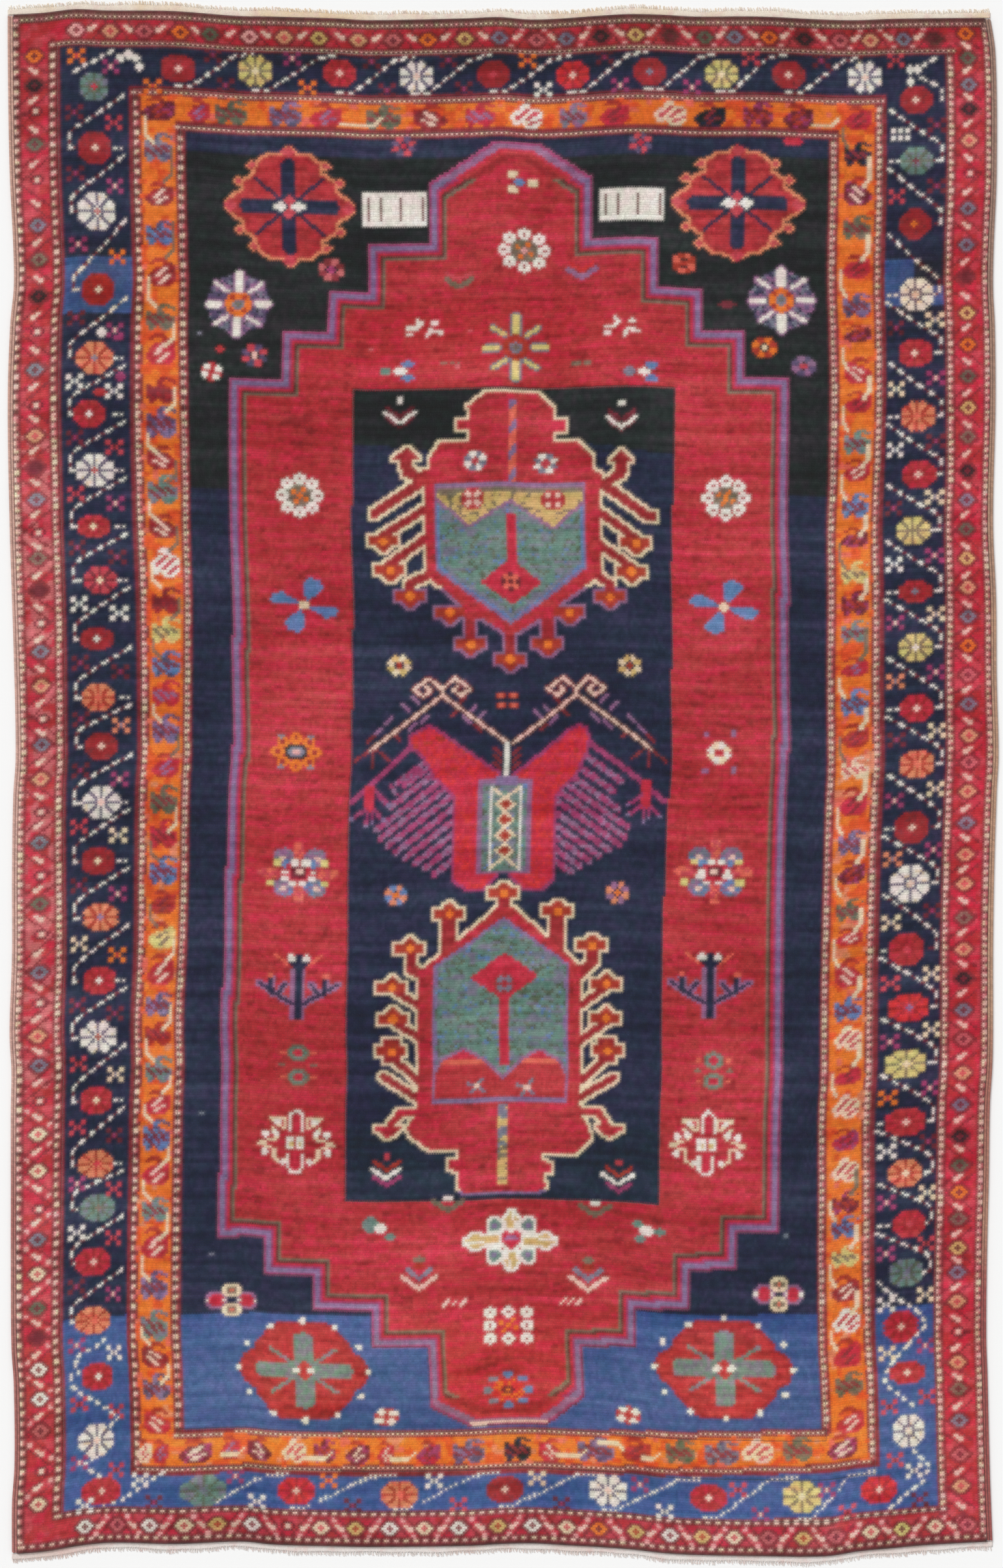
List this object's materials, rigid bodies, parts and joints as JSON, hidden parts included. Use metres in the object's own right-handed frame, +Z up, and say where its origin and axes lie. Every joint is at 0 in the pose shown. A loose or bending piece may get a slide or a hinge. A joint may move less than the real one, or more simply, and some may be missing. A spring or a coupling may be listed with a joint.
{
  "type": "hand-knotted wool rug",
  "caption": "Flat hand-knotted wool rug with bordered medallion pattern, wrapped side cords and short cut warp ends.",
  "frame": {"origin": "middle of the rug's underside, on the floor", "axes": "+Z up from the underside to the pile, +Y along the length towards the far end, +X to the right"},
  "size_m": [1.6269, 2.5695, 0.0084],
  "materials": {
    "pile": "clipped wool pile, matt",
    "side_cords": "wrapped wool yarn, matt",
    "warp_ends": "undyed wool yarn, matt"
  },
  "bodies": {
    "root": {"rug_pile": "pile", "side_cords_left": "side_cords", "side_cords_right": "side_cords", "end_web_far": "warp_ends", "end_web_near": "warp_ends"}
  },
  "joints": []
}
